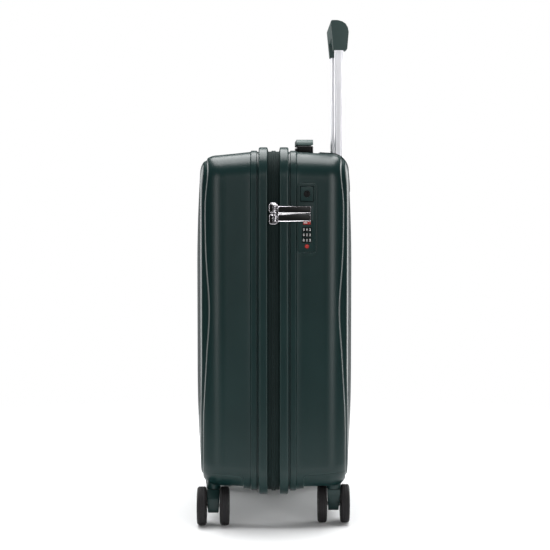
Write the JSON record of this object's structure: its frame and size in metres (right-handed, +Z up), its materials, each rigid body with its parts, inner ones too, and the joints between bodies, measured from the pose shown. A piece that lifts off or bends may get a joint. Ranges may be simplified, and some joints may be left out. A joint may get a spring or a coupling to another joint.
{
  "type": "hard shell suitcase",
  "caption": "Hard shell cabin suitcase that opens like a clam along a zip, with a telescopic handle, a combination lock and twin-wheel spinner casters.",
  "frame": {"origin": "on the floor under the middle of the case, in the zip plane", "axes": "+Z up, -Y towards the front half, +X towards the lock side"},
  "size_m": [0.3811, 0.23, 0.7226],
  "materials": {
    "shell_green": "satin dark green moulding with a fine grain",
    "handle_green": "soft satin green",
    "black_plastic": "satin black moulding",
    "tyre_grey": "matt charcoal polyurethane",
    "tube_aluminium": "bright brushed tube",
    "zip_chrome": "polished",
    "axle_steel": "turned",
    "zip_fabric": "woven dark green tape",
    "lining_fabric": "grey polyester",
    "red_enamel": "glossy red"
  },
  "bodies": {
    "back_half": {"back_shell": "shell_green", "back_zip_tape": "zip_fabric", "hinge_strip": "zip_fabric", "back_lining": "lining_fabric", "packing_strap_left": "lining_fabric", "packing_strap_right": "lining_fabric", "strap_buckle": "black_plastic", "trolley_bezel": "shell_green", "outer_tube_left": "tube_aluminium", "outer_tube_right": "tube_aluminium", "trolley_bracket": "black_plastic", "carry_mount_left": "black_plastic", "carry_mount_right": "black_plastic", "lock_plate": "shell_green", "lock_case": "black_plastic", "lock_indicator": "red_enamel", "reset_pin": "red_enamel", "back_left_corner_guard": "shell_green", "back_right_corner_guard": "shell_green"},
    "front_half": {"front_shell": "shell_green", "front_zip_tape": "zip_fabric", "front_lining": "lining_fabric", "divider_panel": "lining_fabric", "front_left_corner_guard": "shell_green", "front_right_corner_guard": "shell_green"},
    "trolley_middle_stage": {"middle_tube_left": "tube_aluminium", "middle_tube_right": "tube_aluminium"},
    "trolley_inner_stage": {"inner_tube_left": "tube_aluminium", "inner_tube_right": "tube_aluminium", "trolley_grip": "handle_green"},
    "grip_button": {"trolley_grip_button": "black_plastic"},
    "carry_handle": {"carry_handle": "handle_green"},
    "lock_button": {"lock_button": "shell_green"},
    "key_cylinder": {"key_cylinder": "black_plastic"},
    "dial_1": {"dial_1": "black_plastic"},
    "dial_2": {"dial_2": "black_plastic"},
    "dial_3": {"dial_3": "black_plastic"},
    "upper_slider": {"upper_zip_slider": "zip_chrome"},
    "lower_slider": {"lower_zip_slider": "zip_chrome"},
    "upper_pull": {"upper_zip_pull": "zip_chrome"},
    "lower_pull": {"lower_zip_pull": "zip_chrome"},
    "front_left_swivel": {"front_left_fork": "shell_green", "front_left_axle": "axle_steel"},
    "front_left_wheel_a": {"front_left_wheel_a": "tyre_grey"},
    "front_left_wheel_b": {"front_left_wheel_b": "tyre_grey"},
    "front_right_swivel": {"front_right_fork": "shell_green", "front_right_axle": "axle_steel"},
    "front_right_wheel_a": {"front_right_wheel_a": "tyre_grey"},
    "front_right_wheel_b": {"front_right_wheel_b": "tyre_grey"},
    "back_left_swivel": {"back_left_fork": "shell_green", "back_left_axle": "axle_steel"},
    "back_left_wheel_a": {"back_left_wheel_a": "tyre_grey"},
    "back_left_wheel_b": {"back_left_wheel_b": "tyre_grey"},
    "back_right_swivel": {"back_right_fork": "shell_green", "back_right_axle": "axle_steel"},
    "back_right_wheel_a": {"back_right_wheel_a": "tyre_grey"},
    "back_right_wheel_b": {"back_right_wheel_b": "tyre_grey"}
  },
  "joints": [
    {"name": "lid_hinge", "type": "hinge", "parent": "back_half", "child": "front_half", "pos_m": [-0.1885, 0, 0.291], "axis": [0, 0, -1], "range_deg": [0, 180], "deforming": ["hinge_strip"]},
    {"name": "trolley_middle_slide", "type": "slide", "parent": "back_half", "child": "trolley_middle_stage", "axis": [0, 0, 1], "range_m": [0, 0.24]},
    {"name": "trolley_inner_slide", "type": "slide", "parent": "trolley_middle_stage", "child": "trolley_inner_stage", "axis": [0, 0, 1], "range_m": [-0.177, 0]},
    {"name": "grip_button_press", "type": "slide", "parent": "trolley_inner_stage", "child": "grip_button", "axis": [0, 0, -1], "range_m": [0, 0.004], "stiffness_N_per_m": 600, "springref_m": -0.002},
    {"name": "carry_handle_lift", "type": "slide", "parent": "back_half", "child": "carry_handle", "axis": [0, 0, 1], "range_m": [0, 0.01]},
    {"name": "lock_button_press", "type": "slide", "parent": "back_half", "child": "lock_button", "axis": [-1, 0, 0], "range_m": [0, 0.002], "stiffness_N_per_m": 500, "springref_m": -0.002},
    {"name": "key_turn", "type": "hinge", "parent": "back_half", "child": "key_cylinder", "pos_m": [0.175, 0.0465, 0.4727], "axis": [1, 0, 0], "range_deg": [0, 90]},
    {"name": "dial_1_turn", "type": "hinge", "parent": "back_half", "child": "dial_1", "pos_m": [0.175, 0.0465, 0.4229], "axis": [0, 0, 1], "continuous": true},
    {"name": "dial_2_turn", "type": "hinge", "parent": "back_half", "child": "dial_2", "pos_m": [0.175, 0.0465, 0.4155], "axis": [0, 0, 1], "continuous": true},
    {"name": "dial_3_turn", "type": "hinge", "parent": "back_half", "child": "dial_3", "pos_m": [0.175, 0.0465, 0.4081], "axis": [0, 0, 1], "continuous": true},
    {"name": "upper_slider_run", "type": "slide", "parent": "back_half", "child": "upper_slider", "axis": [0, 0, 1], "range_m": [0, 0.03]},
    {"name": "lower_slider_run", "type": "slide", "parent": "back_half", "child": "lower_slider", "axis": [0, 0, -1], "range_m": [0, 0.3]},
    {"name": "upper_pull_swing", "type": "hinge", "parent": "upper_slider", "child": "upper_pull", "pos_m": [0.1908, 0.002, 0.4508], "axis": [0, 0, -1], "range_deg": [0, 160]},
    {"name": "lower_pull_swing", "type": "hinge", "parent": "lower_slider", "child": "lower_pull", "pos_m": [0.1908, 0.002, 0.4396], "axis": [0, 0, -1], "range_deg": [0, 160]},
    {"name": "front_left_swivel_turn", "type": "hinge", "parent": "front_half", "child": "front_left_swivel", "pos_m": [-0.143, -0.086, 0.051], "axis": [0, 0, 1], "continuous": true},
    {"name": "front_left_wheel_a_roll", "type": "hinge", "parent": "front_left_swivel", "child": "front_left_wheel_a", "pos_m": [-0.134, -0.10225, 0.0275], "axis": [0, 1, 0], "continuous": true},
    {"name": "front_left_wheel_b_roll", "type": "hinge", "parent": "front_left_swivel", "child": "front_left_wheel_b", "pos_m": [-0.134, -0.06975, 0.0275], "axis": [0, 1, 0], "continuous": true},
    {"name": "front_right_swivel_turn", "type": "hinge", "parent": "front_half", "child": "front_right_swivel", "pos_m": [0.143, -0.086, 0.051], "axis": [0, 0, 1], "continuous": true},
    {"name": "front_right_wheel_a_roll", "type": "hinge", "parent": "front_right_swivel", "child": "front_right_wheel_a", "pos_m": [0.152, -0.10225, 0.0275], "axis": [0, 1, 0], "continuous": true},
    {"name": "front_right_wheel_b_roll", "type": "hinge", "parent": "front_right_swivel", "child": "front_right_wheel_b", "pos_m": [0.152, -0.06975, 0.0275], "axis": [0, 1, 0], "continuous": true},
    {"name": "back_left_swivel_turn", "type": "hinge", "parent": "back_half", "child": "back_left_swivel", "pos_m": [-0.143, 0.086, 0.051], "axis": [0, 0, 1], "continuous": true},
    {"name": "back_left_wheel_a_roll", "type": "hinge", "parent": "back_left_swivel", "child": "back_left_wheel_a", "pos_m": [-0.152, 0.10225, 0.0275], "axis": [0, 1, 0], "continuous": true},
    {"name": "back_left_wheel_b_roll", "type": "hinge", "parent": "back_left_swivel", "child": "back_left_wheel_b", "pos_m": [-0.152, 0.06975, 0.0275], "axis": [0, 1, 0], "continuous": true},
    {"name": "back_right_swivel_turn", "type": "hinge", "parent": "back_half", "child": "back_right_swivel", "pos_m": [0.143, 0.086, 0.051], "axis": [0, 0, 1], "continuous": true},
    {"name": "back_right_wheel_a_roll", "type": "hinge", "parent": "back_right_swivel", "child": "back_right_wheel_a", "pos_m": [0.134, 0.10225, 0.0275], "axis": [0, 1, 0], "continuous": true},
    {"name": "back_right_wheel_b_roll", "type": "hinge", "parent": "back_right_swivel", "child": "back_right_wheel_b", "pos_m": [0.134, 0.06975, 0.0275], "axis": [0, 1, 0], "continuous": true}
  ]
}
